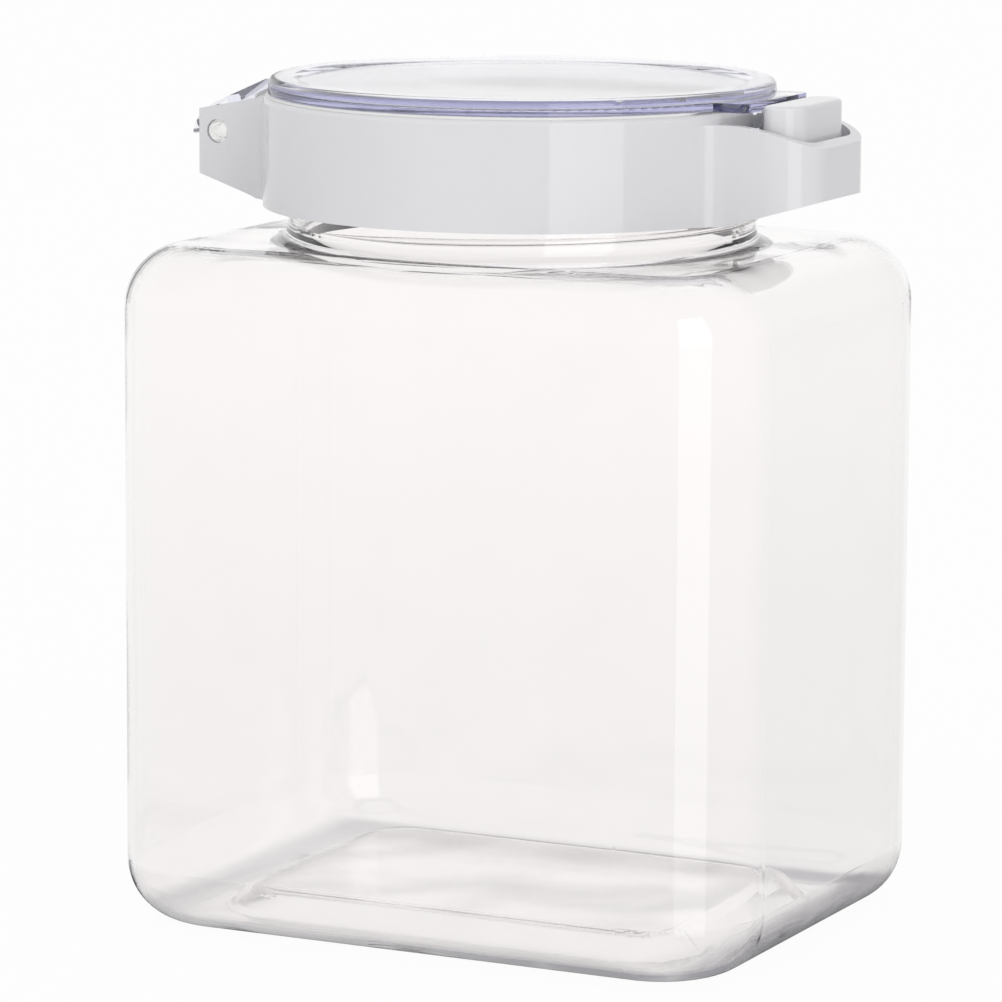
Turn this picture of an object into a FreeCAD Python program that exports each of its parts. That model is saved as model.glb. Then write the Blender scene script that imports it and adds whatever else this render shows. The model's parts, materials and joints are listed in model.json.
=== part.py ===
"""Food canister: a clear rectangular jar, a screw collar, a hinged clear lid and a push latch.

Millimetres.  X runs along the wide front from the hinge (-X) to the latch (+X), the front faces -Y,
Z is up, and the origin is the middle of the jar's base on the surface that it stands on.
"""
import FreeCAD, Part
import math
import os

from FreeCAD import Vector

# Jar
jar_width = 140.0
jar_depth = 112.0
jar_corner_radius = 22.4
jar_foot_radius = 12.8
jar_shoulder_radius = 12.8
jar_shoulder_height = 139.0
jar_wall = 1.2
push_up_height = 5.0
push_up_inset = 18.0
push_up_taper = 5.0
push_up_corner_radius = 14.0
push_up_edge_radius = 2.5
neck_radius = 47.4
neck_wall = 2.2
neck_height = 18.0
neck_root_radius = 3.6
neck_lip_radius = 0.7

# Collar ring
neck_gasket_thickness = 1.5
thread_room = 2.1
collar_wall = 3.0
collar_height = 22.0
collar_shoulder_gap = 7.0
collar_edge_radius = 1.0
flange_thickness = 2.0
flange_overhang = 1.7

# Hinge block on the collar
hinge_reach = 9.0
hinge_drop = 8.7
hinge_pin_radius = 2.4
hinge_pin_recess = 0.3
hinge_pin_chamfer = 0.4
ear_half_width = 16.0
ear_thickness = 3.7
ear_end_reach = 4.5
ear_rise = 4.5
ear_fall = 8.7
ear_top_slope = 11.0
ear_bottom_slope = 18.5
ear_root_radius = 8.0
ear_edge_radius = 0.6
hinge_web = 2.0

# Lid hinge arm
knuckle_radius = 6.2
knuckle_side_gap = 0.3
knuckle_swing_gap = 0.4
arm_thickness = 1.9
arm_bend_gap = 0.1
nib_radius = 7.9
nib_ramp_start = 140.0
nib_crest_angle = 182.0
nib_stop_angle = 188.0
lid_open_angle = 100.0
stop_clearance_angle = 1.5

# Lid
lid_gap = 0.3
lid_inset = 1.1
lid_plate_thickness = 1.8
lid_edge_radius = 0.4
cover_gap = 0.2
cover_inset = 0.1
cover_thickness = 1.7
cover_edge_radius = 1.3
cover_rim_width = 5.0
cover_recess = 0.8
cover_recess_slope = 1.2
plug_wall = 2.0
plug_inset = 4.3
seal_gap = 0.2
seal_sole = 1.2
seal_wall = 1.0
seal_grip = 2.6
seal_fit = 0.05

# Lid tongue and hook
tongue_reach = 3.8
tongue_half_width = 15.5
tongue_corner_radius = 2.0
hook_half_width = 8.0
hook_thickness = 1.8
hook_setback = 0.2
hook_depth = 6.5
barb_reach = 1.3
barb_height = 2.6
barb_nose = 0.6

# Latch beak on the collar
beak_reach = 17.5
beak_half_width = 17.5
beak_corner_radius = 9.5
beak_root_radius = 6.0
beak_wall = 2.2
beak_floor = 2.0
beak_underside_slope = 16.5
beak_rim_drop = 2.0
beak_rim_fall = 4.5

# Latch button
button_gap = 1.8
button_tongue_gap = 1.6
button_rise = 1.7
button_skirt = 12.2
button_inner_skirt = 6.2
button_wall = 1.8
button_top = 2.0
button_inner_corner_radius = 3.0
button_edge_radius = 0.8
catch_reach = 1.2
catch_gap = 0.4
catch_nose = 0.6
catch_height = 2.4
catch_half_width = 8.5

# Latch pin and spring
latch_pin_radius = 1.25
latch_pin_inboard = 1.9
latch_pin_drop = 13.5
latch_pin_seat = 1.2
latch_boss_radius = 2.6
latch_spring_radius = 2.1
latch_spring_wire = 0.35
latch_spring_turns = 5.0
latch_spring_offset = 3.4
latch_spring_bottom = 15.0
latch_spring_top = 6.5
spring_end_gap = 0.05
spigot_radius = 1.3
spigot_length = 2.5

# Lid spring
lid_spring_radius = 3.25
lid_spring_wire = 0.45
lid_spring_pitch = 1.15
lid_spring_coils = 5
lid_spring_room = 4.6
lid_spring_arm = 8.0
lid_spring_tail = 5.2
lid_spring_tail_angle = 270.0

# Fits
pin_fit = 0.05
cut_margin = 5.0
level_tolerance = 0.001

# Levels and places that follow from the sizes above
neck_rim_z = jar_shoulder_height + neck_height
collar_bottom_z = jar_shoulder_height + collar_shoulder_gap
collar_top_z = collar_bottom_z + collar_height
flange_bottom_z = neck_rim_z + neck_gasket_thickness
flange_top_z = flange_bottom_z + flange_thickness
lid_bottom_z = collar_top_z + lid_gap
lid_plate_top_z = lid_bottom_z + lid_plate_thickness
cover_bottom_z = lid_plate_top_z + cover_gap
cover_top_z = cover_bottom_z + cover_thickness
seal_bottom_z = flange_top_z + seal_gap
plug_bottom_z = seal_bottom_z + seal_sole
collar_bore = neck_radius + thread_room
collar_radius = collar_bore + collar_wall
neck_bore = neck_radius - neck_wall
mouth_radius = neck_bore - flange_overhang
lid_radius = collar_radius - lid_inset
plug_radius = collar_bore - plug_inset
hinge_x = -(collar_radius + hinge_reach)
hinge_z = collar_top_z - hinge_drop
ear_end_x = hinge_x - ear_end_reach
slot_half_width = ear_half_width - ear_thickness
knuckle_half_width = slot_half_width - knuckle_side_gap
beak_end_x = collar_radius + beak_reach
tongue_end_x = collar_radius + tongue_reach
button_inset = beak_wall + button_gap
button_inner_x = tongue_end_x + button_tongue_gap
button_end_x = beak_end_x - button_inset
button_half_width = beak_half_width - button_inset
button_top_z = collar_top_z + button_rise
button_skirt_z = button_top_z - button_skirt
button_roof_z = button_top_z - button_top
hook_outer_x = tongue_end_x - hook_setback
hook_bottom_z = lid_bottom_z - hook_depth
barb_top_z = hook_bottom_z + barb_height
catch_bottom_z = barb_top_z + catch_gap
latch_pin_x = button_inner_x - latch_pin_inboard
latch_pin_z = collar_top_z - latch_pin_drop
latch_spring_x = button_inner_x + latch_spring_offset
latch_spring_bottom_z = collar_top_z - latch_spring_bottom
latch_spring_top_z = collar_top_z - latch_spring_top

UP = Vector(0, 0, 1)
ACROSS = Vector(0, 1, 0)


def closed_face(edges):
    """A flat face inside the edges of one closed outline."""
    return Part.Face(Part.Wire(Part.__sortEdges__(edges)))


def line(start, end):
    """A straight edge."""
    return Part.LineSegment(start, end).toShape()


def arc(start, middle, end):
    """A circular edge through three points."""
    return Part.Arc(start, middle, end).toShape()


def polygon(points):
    """A closed wire through the points."""
    return Part.makePolygon(list(points) + [points[0]])


def turned(profile_points):
    """A solid of revolution about Z, from (radius, height) points."""
    outline = polygon([Vector(radius, 0, height) for radius, height in profile_points])
    return Part.Face(outline).revolve(Vector(), UP, 360)


def side_prism(points, low_y, high_y):
    """A prism along Y whose side view is the closed line through (x, z) points."""
    outline = polygon([Vector(x, low_y, z) for x, z in points])
    return Part.Face(outline).extrude(Vector(0, high_y - low_y, 0))


def cross_rod(radius, x, z, low_y, high_y):
    """A round bar along Y."""
    return Part.makeCylinder(radius, high_y - low_y, Vector(x, low_y, z), ACROSS)


def level_edges(solid, height):
    """The edges of a solid that lie wholly at one height."""
    return [edge for edge in solid.Edges if is_level(edge, height)]


def is_level(edge, height):
    """Whether an edge lies at a height along its whole length."""
    box = edge.BoundBox
    return abs(box.ZMin - height) < level_tolerance and box.ZLength < level_tolerance


def polar(centre_x, centre_z, radius, degrees):
    """A point (x, z) at an angle from +X towards +Z about a centre."""
    turn = math.radians(degrees)
    return centre_x + radius * math.cos(turn), centre_z + radius * math.sin(turn)


def rounded_rectangle(width, depth, radius, height):
    """A rounded rectangle at one height, centred on Z."""
    half_x = width / 2
    half_y = depth / 2
    rise = radius * (1 - math.sqrt(0.5))
    edges = []
    for turn in range(4):
        side_x, side_y = (half_x, half_y) if turn % 2 == 0 else (half_y, half_x)
        spin = FreeCAD.Rotation(UP, 90 * turn)
        low = Vector(side_x, radius - side_y, height)
        high = Vector(side_x, side_y - radius, height)
        corner = Vector(side_x - rise, side_y - rise, height)
        last = Vector(side_x - radius, side_y, height)
        edges.append(line(spin.multVec(low), spin.multVec(high)))
        edges.append(arc(spin.multVec(high), spin.multVec(corner), spin.multVec(last)))
    return Part.Wire(edges)


def soft_block(width, depth, corner, low_z, high_z, foot, shoulder):
    """A rounded rectangular block with rounded foot and shoulder edges."""
    outline = rounded_rectangle(width, depth, corner, low_z)
    block = Part.Face(outline).extrude(Vector(0, 0, high_z - low_z))
    block = block.makeFillet(foot, level_edges(block, low_z))
    return block.makeFillet(shoulder, level_edges(block, high_z))


def push_up(grow):
    """The raised panel of the base, as a tapered block that is larger all round by grow."""
    outlines = []
    top_z = push_up_height + grow
    for inset, radius, height in (
        (push_up_inset, push_up_corner_radius, 0),
        (push_up_inset + push_up_taper, push_up_corner_radius - push_up_taper, top_z),
    ):
        width = jar_width - 2 * inset + 2 * grow
        depth = jar_depth - 2 * inset + 2 * grow
        outlines.append(rounded_rectangle(width, depth, radius + grow, height))
    panel = Part.makeLoft(outlines, True, True)
    return panel.makeFillet(push_up_edge_radius + grow, level_edges(panel, top_z))


def pressed_base(block, grow, floor_z):
    """A block with the raised panel pressed into its base, rounded where the panel leaves the floor."""
    pressed = block.cut(push_up(grow))
    reach_x = jar_width / 2 - push_up_inset + grow + level_tolerance
    reach_y = jar_depth / 2 - push_up_inset + grow + level_tolerance
    rim = []
    for edge in level_edges(pressed, floor_z):
        if edge.BoundBox.XMax < reach_x and edge.BoundBox.YMax < reach_y and edge.BoundBox.YMin > -reach_y:
            rim.append(edge)
    return pressed.makeFillet(push_up_edge_radius, rim)


def make_jar():
    """The blown jar: one wall all round, a raised base and an open neck."""
    outer = soft_block(jar_width, jar_depth, jar_corner_radius, 0, jar_shoulder_height,
                       jar_foot_radius, jar_shoulder_radius)
    inner = soft_block(jar_width - 2 * jar_wall, jar_depth - 2 * jar_wall, jar_corner_radius - jar_wall,
                       jar_wall, jar_shoulder_height - jar_wall,
                       jar_foot_radius - jar_wall, jar_shoulder_radius - jar_wall)
    root_z = jar_shoulder_height
    root = [
        line(Vector(0, 0, root_z - jar_wall), Vector(neck_radius + neck_root_radius, 0, root_z - jar_wall)),
        line(Vector(neck_radius + neck_root_radius, 0, root_z - jar_wall),
             Vector(neck_radius + neck_root_radius, 0, root_z)),
        arc(Vector(neck_radius + neck_root_radius, 0, root_z),
            Vector(neck_radius + neck_root_radius * (1 - math.sqrt(0.5)), 0,
                   root_z + neck_root_radius * (1 - math.sqrt(0.5))),
            Vector(neck_radius, 0, root_z + neck_root_radius)),
        line(Vector(neck_radius, 0, root_z + neck_root_radius), Vector(neck_radius, 0, neck_rim_z)),
        line(Vector(neck_radius, 0, neck_rim_z), Vector(0, 0, neck_rim_z)),
        line(Vector(0, 0, neck_rim_z), Vector(0, 0, root_z - jar_wall)),
    ]
    neck = Part.Face(Part.Wire(root)).revolve(Vector(), UP, 360)
    bore = Part.makeCylinder(neck_bore, neck_height + 3 * jar_wall, Vector(0, 0, root_z - 2 * jar_wall))
    hollow = pressed_base(inner, jar_wall, jar_wall)
    body = pressed_base(outer, 0, 0).fuse(neck).cut(hollow).cut(bore).removeSplitter()
    return body.Solids[0].makeFillet(neck_lip_radius, level_edges(body.Solids[0], neck_rim_z))


def make_neck_gasket():
    """The flat ring between the jar's rim and the collar's flange."""
    return turned([(mouth_radius, neck_rim_z), (neck_radius, neck_rim_z),
                   (neck_radius, flange_bottom_z), (mouth_radius, flange_bottom_z)])


def collar_ring():
    """The turned ring: skirt round the neck, flange over its rim and cup under the lid."""
    ring = turned([
        (collar_bore, collar_bottom_z), (collar_radius, collar_bottom_z), (collar_radius, collar_top_z),
        (collar_bore, collar_top_z), (collar_bore, flange_top_z), (mouth_radius, flange_top_z),
        (mouth_radius, flange_bottom_z), (collar_bore, flange_bottom_z),
    ])
    return ring.makeFillet(collar_edge_radius, level_edges(ring, collar_top_z))


def nose_plan(half_width, end_x, corner, root_radius):
    """The outline from above of a round-cornered nose that leaves the ring along +X.

    With a root radius each flank runs into the ring in a hollow arc; without one it runs straight back.
    """
    blend_reach = collar_radius + root_radius
    blend_y = half_width + root_radius
    blend_x = math.sqrt(blend_reach ** 2 - blend_y ** 2)
    rise = corner * (1 - math.sqrt(0.5))
    edges = [line(Vector(end_x, corner - half_width, 0), Vector(end_x, half_width - corner, 0))]
    for side in (-1, 1):
        flank_start = Vector(end_x - corner, side * half_width, 0)
        flank_end = Vector(blend_x, side * half_width, 0)
        root = flank_end
        edges.append(arc(Vector(end_x, side * (half_width - corner), 0),
                         Vector(end_x - rise, side * (half_width - rise), 0), flank_start))
        edges.append(line(flank_start, flank_end))
        if root_radius:
            centre = Vector(blend_x, side * blend_y, 0)
            root = centre * (collar_radius / blend_reach)
            middle_way = (flank_end - centre) + (root - centre)
            edges.append(arc(flank_end, centre + middle_way.normalize() * root_radius, root))
        edges.append(line(root, Vector(0, root.y, 0)))
    edges.append(line(Vector(0, -root.y, 0), Vector(0, root.y, 0)))
    return closed_face(edges)


def ring_core(radius):
    """A tall cylinder about Z that clears whatever would fill the inside of the ring."""
    return Part.makeCylinder(radius, collar_top_z + 2 * cut_margin, Vector(0, 0, -cut_margin))


def standing(plan):
    """A plan drawn at the base, raised through the height of the collar."""
    plan.translate(Vector(0, 0, collar_bottom_z - cut_margin))
    return plan.extrude(Vector(0, 0, collar_height + 2 * cut_margin))


def slope_rise(run, degrees):
    """The rise of a slope over a run."""
    return run * math.tan(math.radians(degrees))


def hinge_block():
    """The block behind the ring that carries the hinge: two ears over a closed floor."""
    block = standing(nose_plan(ear_half_width, -ear_end_x, ear_edge_radius, ear_root_radius))
    block.rotate(Vector(), UP, 180)
    run = -ear_end_x
    low_z = hinge_z - ear_fall
    high_z = hinge_z + ear_rise
    side = side_prism([(ear_end_x, low_z), (0, low_z - slope_rise(run, ear_bottom_slope)),
                       (0, high_z + slope_rise(run, ear_top_slope)), (ear_end_x, high_z)],
                      -2 * ear_half_width - ear_root_radius, 2 * ear_half_width + ear_root_radius)
    floor = ring_core(collar_radius * 2)
    floor.translate(Vector(0, 0, collar_bottom_z + cut_margin))
    return block.common(side).common(floor).cut(ring_core(collar_bore + collar_wall / 2))


def hinge_slot():
    """The room between the ears: the knuckle's bed, the nib's deeper track and the open top."""
    low_y, high_y = -slot_half_width, slot_half_width
    bed = cross_rod(knuckle_radius + knuckle_swing_gap, hinge_x, hinge_z, low_y, high_y)
    track_radius = nib_radius + knuckle_swing_gap
    stop_angle = nib_stop_angle + lid_open_angle + stop_clearance_angle
    track_side = [(hinge_x, hinge_z)]
    for angle in (nib_ramp_start, (nib_ramp_start + stop_angle) / 2, stop_angle):
        track_side.append(polar(hinge_x, hinge_z, 2 * track_radius, angle))
    track = cross_rod(track_radius, hinge_x, hinge_z, low_y, high_y)
    track = track.common(side_prism(track_side, low_y, high_y))
    open_x = -(collar_radius + hinge_web)
    top_z = collar_top_z + cut_margin
    mouth = side_prism([(ear_end_x - cut_margin, hinge_z), (open_x, hinge_z), (open_x, top_z),
                        (ear_end_x - cut_margin, top_z)], low_y, high_y)
    return bed.fuse(track).fuse(mouth)


def beak_side(lift):
    """The side view of the beak, with its underside raised by lift and its top an arc."""
    low_y = -2 * beak_half_width
    far_x = beak_end_x + cut_margin
    root_z = collar_bottom_z + lift
    rim_z = collar_top_z - beak_rim_drop
    rim_radius = (beak_reach ** 2 + beak_rim_fall ** 2) / (2 * beak_rim_fall)
    centre_z = rim_z - rim_radius
    middle_x = collar_radius + beak_reach / 2
    far_z = centre_z + math.sqrt(rim_radius ** 2 - (far_x - collar_radius) ** 2)
    middle_z = centre_z + math.sqrt(rim_radius ** 2 - (middle_x - collar_radius) ** 2)
    low_far = Vector(far_x, low_y, root_z + slope_rise(far_x - collar_radius, beak_underside_slope))
    high_far = Vector(far_x, low_y, far_z)
    root_top = Vector(collar_radius, low_y, rim_z)
    face = closed_face([
        line(Vector(0, low_y, root_z), Vector(collar_radius, low_y, root_z)),
        line(Vector(collar_radius, low_y, root_z), low_far),
        line(low_far, high_far),
        arc(high_far, Vector(middle_x, low_y, middle_z), root_top),
        line(root_top, Vector(0, low_y, rim_z)),
        line(Vector(0, low_y, rim_z), Vector(0, low_y, root_z)),
    ])
    return face.extrude(Vector(0, -2 * low_y, 0))


def latch_beak():
    """The hollow beak at the front of the ring, open above, with a seat for the latch spring."""
    shell = standing(nose_plan(beak_half_width, beak_end_x, beak_corner_radius, beak_root_radius))
    shell = shell.common(beak_side(0))
    room = standing(nose_plan(beak_half_width - beak_wall, beak_end_x - beak_wall,
                              beak_corner_radius - beak_wall, 0))
    below = beak_side(-collar_height)
    floor = beak_side(beak_floor)
    floor_cut = below.cut(floor)
    room = room.cut(floor_cut).cut(ring_core(collar_radius))
    beak = shell.cut(room).cut(ring_core(collar_bore + collar_wall / 2))
    seat_radius = latch_spring_radius + 2 * latch_spring_wire
    seat = Part.makeCylinder(seat_radius, collar_height, Vector(latch_spring_x, 0, collar_bottom_z))
    seat = seat.common(beak_side(0))
    seat_top = Part.makeCylinder(2 * seat_radius, collar_height,
                                 Vector(latch_spring_x, 0, latch_spring_bottom_z - spring_end_gap))
    spigot = Part.makeCylinder(spigot_radius, spigot_length,
                               Vector(latch_spring_x, 0, latch_spring_bottom_z - spring_end_gap))
    return beak.fuse(seat.cut(seat_top)).fuse(spigot)


def make_collar():
    """The screw collar in one moulding: ring, hinge block and latch beak."""
    collar = collar_ring().fuse(hinge_block()).cut(hinge_slot()).fuse(latch_beak())
    ear_bore = cross_rod(hinge_pin_radius + pin_fit, hinge_x, hinge_z,
                         -ear_half_width - cut_margin, ear_half_width + cut_margin)
    seat_depth = beak_half_width - beak_wall + latch_pin_seat
    latch_bore = cross_rod(latch_pin_radius + pin_fit, latch_pin_x, latch_pin_z,
                           -seat_depth, beak_half_width + cut_margin)
    return collar.cut(ear_bore).cut(latch_bore).removeSplitter().Solids[0]


def make_hinge_pin():
    """The pin through both ears and the lid's knuckles, chamfered at its ends."""
    reach = ear_half_width - hinge_pin_recess
    pin = cross_rod(hinge_pin_radius, hinge_x, hinge_z, -reach, reach)
    ends = [edge for edge in pin.Edges if edge.BoundBox.YLength < hinge_pin_chamfer]
    return pin.makeChamfer(hinge_pin_chamfer, ends)


def arm_line():
    """The lid arm's upper line: the bend at the lid, the touch point on the knuckle and its angle."""
    bend_x = -(collar_radius - arm_bend_gap)
    run_x = bend_x - hinge_x
    run_z = lid_plate_top_z - hinge_z
    distance = math.hypot(run_x, run_z)
    angle = math.degrees(math.atan2(run_z, run_x) + math.acos(knuckle_radius / distance))
    return bend_x, polar(hinge_x, hinge_z, knuckle_radius, angle), angle


def hinge_arm():
    """The lid's arm: a sloped plate, two knuckles with the spring's room between, and the stop nib."""
    bend_x, touch, angle = arm_line()
    inner = polar(hinge_x, hinge_z, knuckle_radius - arm_thickness, angle)
    slope = math.tan(math.radians(angle - 90))
    lower_bend_x = inner[0] + (lid_bottom_z - inner[1]) / slope
    root_x = bend_x + lid_inset + plug_inset
    plate = side_prism([(root_x, lid_plate_top_z), (bend_x, lid_plate_top_z), touch, inner,
                        (lower_bend_x, lid_bottom_z), (root_x, lid_bottom_z)],
                       -knuckle_half_width, knuckle_half_width)
    ramp_middle = (nib_ramp_start + nib_crest_angle) / 2
    ramp_radius = (knuckle_radius + nib_radius) / 2
    core_radius = hinge_pin_radius + pin_fit
    arm = plate
    for low_y, high_y in ((-knuckle_half_width, -lid_spring_room), (lid_spring_room, knuckle_half_width)):
        corners = [polar(hinge_x, hinge_z, radius, turn) for radius, turn in (
            (core_radius, nib_ramp_start), (knuckle_radius, nib_ramp_start), (ramp_radius, ramp_middle),
            (nib_radius, nib_crest_angle), (nib_radius, nib_stop_angle), (core_radius, nib_stop_angle))]
        points = [Vector(x, low_y, z) for x, z in corners]
        nib = closed_face([line(points[0], points[1]), arc(points[1], points[2], points[3]),
                           line(points[3], points[4]), line(points[4], points[5]),
                           line(points[5], points[0])])
        arm = arm.fuse(cross_rod(knuckle_radius, hinge_x, hinge_z, low_y, high_y))
        arm = arm.fuse(nib.extrude(Vector(0, high_y - low_y, 0)))
    return arm.cut(cross_rod(core_radius, hinge_x, hinge_z, -ear_half_width, ear_half_width))


def lid_tongue():
    """The lid's tongue over the beak, with the hook that the latch catches."""
    width = 2 * tongue_half_width
    plan = rounded_rectangle(2 * tongue_end_x, width, tongue_corner_radius, lid_bottom_z)
    tongue = Part.Face(plan).extrude(Vector(0, 0, lid_plate_thickness))
    front = Part.makeBox(tongue_end_x, width, lid_plate_thickness,
                         Vector(plug_radius, -tongue_half_width, lid_bottom_z))
    hook = side_prism([
        (hook_outer_x - hook_thickness, lid_bottom_z), (hook_outer_x, lid_bottom_z),
        (hook_outer_x, barb_top_z), (hook_outer_x + barb_reach, barb_top_z),
        (hook_outer_x + barb_reach, barb_top_z - barb_nose),
        (hook_outer_x, hook_bottom_z), (hook_outer_x - hook_thickness, hook_bottom_z),
    ], -hook_half_width, hook_half_width)
    return tongue.common(front).fuse(hook)


def make_lid_plate():
    """The load-bearing lower half of the lid: disc, plug ring, hinge arm and tongue."""
    disc = turned([(0, lid_bottom_z), (lid_radius, lid_bottom_z), (lid_radius, lid_plate_top_z),
                   (0, lid_plate_top_z)])
    rims = level_edges(disc, lid_bottom_z) + level_edges(disc, lid_plate_top_z)
    disc = disc.makeFillet(lid_edge_radius, rims)
    plug = turned([(plug_radius - plug_wall, plug_bottom_z), (plug_radius, plug_bottom_z),
                   (plug_radius, lid_bottom_z + lid_edge_radius),
                   (plug_radius - plug_wall, lid_bottom_z + lid_edge_radius)])
    return disc.fuse(plug).fuse(hinge_arm()).fuse(lid_tongue()).removeSplitter().Solids[0]


def make_lid_cover():
    """The clear disc on top of the lid, with a raised rim round a shallow recess."""
    radius = lid_radius - cover_inset
    recess_radius = radius - cover_rim_width
    floor_z = cover_top_z - cover_recess
    disc = turned([(0, cover_bottom_z), (radius, cover_bottom_z), (radius, cover_top_z),
                   (recess_radius, cover_top_z), (recess_radius - cover_recess_slope, floor_z), (0, floor_z)])
    rims = level_edges(disc, cover_top_z)
    outer = [edge for edge in rims if edge.BoundBox.XMax > recess_radius + level_tolerance]
    return disc.makeFillet(cover_edge_radius, outer)


def make_lid_seal():
    """The soft channel that grips the plug's lower edge and seals on the collar's flange."""
    outer = plug_radius + seal_wall
    inner = plug_radius - plug_wall - seal_wall
    grip_z = plug_bottom_z + seal_grip
    return turned([
        (inner, seal_bottom_z), (outer, seal_bottom_z), (outer, grip_z), (plug_radius + seal_fit, grip_z),
        (plug_radius + seal_fit, plug_bottom_z - seal_fit),
        (plug_radius - plug_wall - seal_fit, plug_bottom_z - seal_fit),
        (plug_radius - plug_wall - seal_fit, grip_z), (inner, grip_z),
    ])


def button_plan(inset):
    """The button's outline from above: the beak's outline set in, squared off at the lid's tongue."""
    nose = nose_plan(button_half_width - inset, button_end_x - inset,
                     beak_corner_radius - button_inset - inset, 0)
    inner_x = button_inner_x + inset
    length = 2 * (button_end_x - inner_x)
    back = Part.Face(rounded_rectangle(length, 2 * (button_half_width - inset),
                                       button_inner_corner_radius, 0))
    back.translate(Vector(inner_x + length / 2, 0, 0))
    return nose.common(back).Faces[0]


def button_cap():
    """The thumb cap: a rounded top and a skirt, hollow below and cut away on the lid's side."""
    outer = button_plan(0)
    outer.translate(Vector(0, 0, button_skirt_z))
    cap = outer.extrude(Vector(0, 0, button_skirt))
    cap = cap.makeFillet(button_edge_radius, level_edges(cap, button_top_z))
    hollow = button_plan(button_wall)
    hollow.translate(Vector(0, 0, button_skirt_z - cut_margin))
    hollow = hollow.extrude(Vector(0, 0, button_skirt - button_top + cut_margin))
    relief_x = button_inner_x + button_wall
    relief = side_prism([
        (button_inner_x - cut_margin, button_skirt_z - cut_margin), (relief_x, button_skirt_z - cut_margin),
        (relief_x, button_top_z - button_inner_skirt),
        (button_inner_x - cut_margin, button_top_z - button_inner_skirt),
    ], button_wall - button_half_width, button_half_width - button_wall)
    return cap.cut(hollow).cut(relief)


def button_cheek(side):
    """One side wall's leg down to the latch pin, with its eye."""
    outer_y = side * button_half_width
    inner_y = side * (button_half_width - button_wall)
    low_y, high_y = min(outer_y, inner_y), max(outer_y, inner_y)
    leg = side_prism([
        (latch_pin_x - latch_boss_radius, latch_pin_z),
        (latch_pin_x + latch_boss_radius * math.sqrt(0.5), latch_pin_z - latch_boss_radius * math.sqrt(0.5)),
        (button_end_x - beak_corner_radius + button_inset, button_skirt_z),
        (button_end_x - beak_corner_radius + button_inset, button_skirt_z + button_wall),
        (button_inner_x + button_inner_corner_radius, button_skirt_z + button_inner_skirt),
    ], low_y, high_y)
    return leg.fuse(cross_rod(latch_boss_radius, latch_pin_x, latch_pin_z, low_y, high_y))


def make_latch_button():
    """The latch button: cap, cheeks on the pin, catch over the lid's hook and spring seat."""
    catch_tip_x = button_inner_x - catch_reach
    catch = side_prism([
        (button_inner_x + button_wall, catch_bottom_z), (catch_tip_x, catch_bottom_z),
        (catch_tip_x, catch_bottom_z + catch_nose), (button_inner_x, catch_bottom_z + catch_height),
        (button_inner_x + button_wall, catch_bottom_z + catch_height),
    ], -catch_half_width, catch_half_width)
    seat_z = latch_spring_top_z + spring_end_gap
    seat = Part.makeCylinder(latch_spring_radius + latch_spring_wire, button_roof_z - seat_z,
                             Vector(latch_spring_x, 0, seat_z))
    spigot = Part.makeCylinder(spigot_radius, spigot_length,
                               Vector(latch_spring_x, 0, seat_z - spigot_length))
    button = button_cap().fuse(catch).fuse(seat).fuse(spigot)
    for side in (-1, 1):
        button = button.fuse(button_cheek(side))
    eye = cross_rod(latch_pin_radius + pin_fit, latch_pin_x, latch_pin_z, -beak_half_width, beak_half_width)
    return button.cut(eye).removeSplitter().Solids[0]


def make_latch_pin():
    """The latch button's pin, blind in one side of the beak and flush with the other."""
    return cross_rod(latch_pin_radius, latch_pin_x, latch_pin_z,
                     pin_fit - (beak_half_width - beak_wall + latch_pin_seat), beak_half_width - pin_fit)


def coil(radius, wire, pitch, turns):
    """A round-wire coil about Z that starts at (radius, 0, 0), with its start and end directions."""
    climb = Vector(0, 2 * math.pi * radius, pitch).normalize()
    path = Part.Wire(Part.makeHelix(pitch, pitch * turns, radius).Edges)
    section = Part.Wire(Part.makeCircle(wire, Vector(radius, 0, 0), climb))
    spring = path.makePipeShell([section], True, True)
    spin = FreeCAD.Rotation(UP, 360 * turns)
    end = spin.multVec(Vector(radius, 0, 0)) + Vector(0, 0, pitch * turns)
    return spring, climb, end, spin.multVec(climb)


def make_latch_spring():
    """The compression spring between the beak's floor and the button."""
    height = latch_spring_top_z - latch_spring_bottom_z - 2 * latch_spring_wire
    pitch = height / latch_spring_turns
    spring = coil(latch_spring_radius, latch_spring_wire, pitch, latch_spring_turns)[0]
    spring.translate(Vector(latch_spring_x, 0, latch_spring_bottom_z + latch_spring_wire))
    return spring


def make_lid_spring():
    """The torsion spring round the hinge pin: one leg under the lid's arm, one against the collar."""
    arm_angle = arm_line()[2]
    turns = lid_spring_coils + (lid_spring_tail_angle - arm_angle) / 360
    spring, start_way, end, end_way = coil(lid_spring_radius, lid_spring_wire, lid_spring_pitch, turns)
    start = Vector(lid_spring_radius, 0, 0)
    spring = spring.fuse(Part.makeCylinder(lid_spring_wire, lid_spring_arm, start, -start_way))
    spring = spring.fuse(Part.makeCylinder(lid_spring_wire, lid_spring_tail, end, end_way))
    spring.rotate(Vector(), UP, arm_angle)
    spring.translate(Vector(0, 0, -lid_spring_pitch * turns / 2))
    spring.rotate(Vector(), Vector(1, 0, 0), 90)
    spring.translate(Vector(hinge_x, 0, hinge_z))
    return spring.Solids[0]


PIECES = {
    "jar": make_jar,
    "neck_gasket": make_neck_gasket,
    "collar": make_collar,
    "hinge_pin": make_hinge_pin,
    "lid_spring": make_lid_spring,
    "lid_plate": make_lid_plate,
    "lid_cover": make_lid_cover,
    "lid_seal": make_lid_seal,
    "latch_button": make_latch_button,
    "latch_pin": make_latch_pin,
    "latch_spring": make_latch_spring,
}

os.makedirs("parts", exist_ok=True)
for node, make in PIECES.items():
    piece = make()
    print(node, len(piece.Solids), piece.isValid(), round(piece.Volume, 1), piece.BoundBox)
    piece.exportStep("parts/" + node + ".step")
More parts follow.
